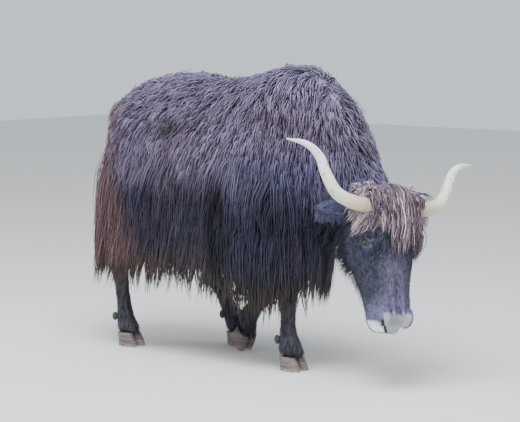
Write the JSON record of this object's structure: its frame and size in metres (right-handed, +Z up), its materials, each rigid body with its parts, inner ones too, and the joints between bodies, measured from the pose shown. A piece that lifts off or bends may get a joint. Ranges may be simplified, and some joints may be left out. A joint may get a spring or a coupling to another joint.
{
  "type": "yak",
  "caption": "Still life-size yak in walking pose, head lowered and turned to its right, upswept horns, woolly forelock, long hair skirt and full tail.",
  "frame": {"origin": "on the floor under the middle of the part's box", "axes": "+X is the way the animal walks, +Y its left side, +Z up"},
  "size_m": [1.9526, 0.7888, 1.3016],
  "materials": {
    "coat": "long blackish-brown hair with a bluish sheen",
    "tail_hair": "coarse reddish-brown hair",
    "face_hair": "short blue-black hair, with a grey-brown woolly forelock",
    "horn": "satin ivory horn with grey streaks",
    "claw": "matt grey-brown hoof horn",
    "eye": "wet dark brown eye"
  },
  "bodies": {
    "root": {"dewclaw_front_left_left": "claw", "dewclaw_front_left_right": "claw", "dewclaw_front_right_left": "claw", "dewclaw_front_right_right": "claw", "dewclaw_hind_left_left": "claw", "dewclaw_hind_left_right": "claw", "dewclaw_hind_right_left": "claw", "dewclaw_hind_right_right": "claw", "ear_left": "face_hair", "ear_right": "face_hair", "eye_left": "eye", "eye_right": "eye", "head": "face_hair", "hoof_front_left_left": "claw", "hoof_front_left_right": "claw", "hoof_front_right_left": "claw", "hoof_front_right_right": "claw", "hoof_hind_left_left": "claw", "hoof_hind_left_right": "claw", "hoof_hind_right_left": "claw", "hoof_hind_right_right": "claw", "horn_left": "horn", "horn_right": "horn", "leg_front_left": "coat", "leg_front_right": "coat", "leg_hind_left": "coat", "leg_hind_right": "coat", "neck": "coat", "tail": "tail_hair", "torso": "coat"}
  },
  "joints": []
}
